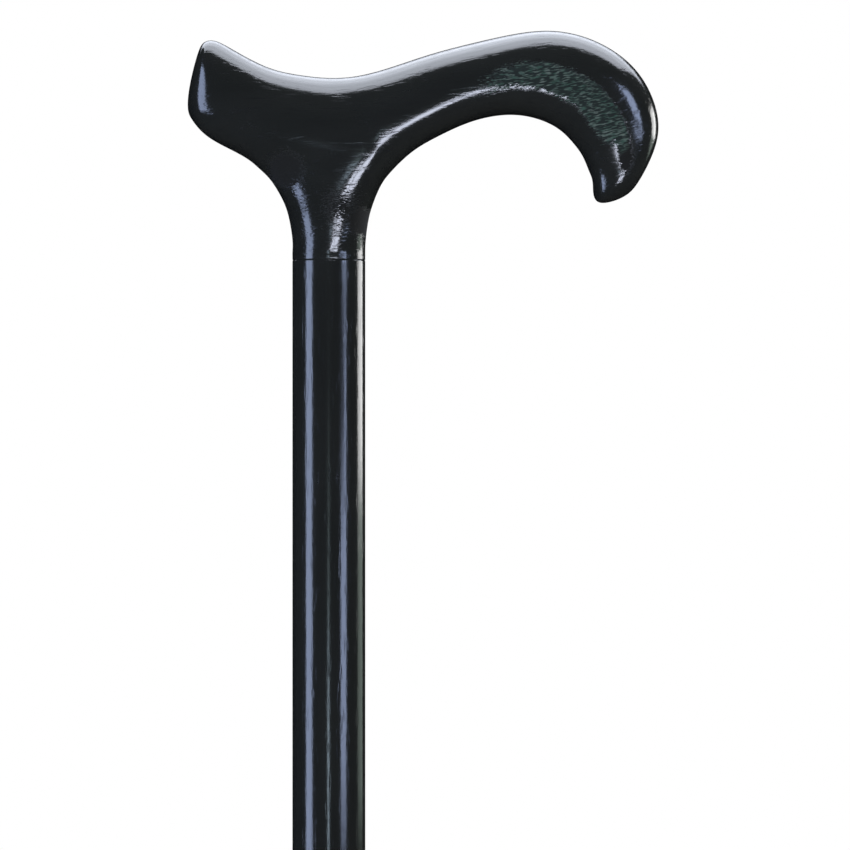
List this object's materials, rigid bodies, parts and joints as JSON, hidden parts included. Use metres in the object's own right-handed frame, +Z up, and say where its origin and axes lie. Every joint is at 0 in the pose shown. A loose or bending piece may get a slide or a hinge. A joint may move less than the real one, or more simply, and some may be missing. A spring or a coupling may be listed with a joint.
{
  "type": "walking stick",
  "caption": "Black lacquered wooden walking stick with a carved derby handle, a straight turned shaft and a ribbed rubber ferrule.",
  "frame": {"origin": "centre of the ferrule's underside, on the shaft's axis, at the floor", "axes": "+Z up along the shaft, +X from the shaft towards the handle's hook, +Y across the palm"},
  "size_m": [0.1291, 0.036, 0.92],
  "materials": {
    "lacquered_wood": "black gloss lacquer over open grain",
    "rubber": "matt moulded rubber",
    "steel": "zinc plated"
  },
  "bodies": {
    "root": {"handle": "lacquered_wood", "handle_stud": "steel", "shaft": "lacquered_wood", "ferrule": "rubber", "ferrule_washer": "steel"}
  },
  "joints": []
}
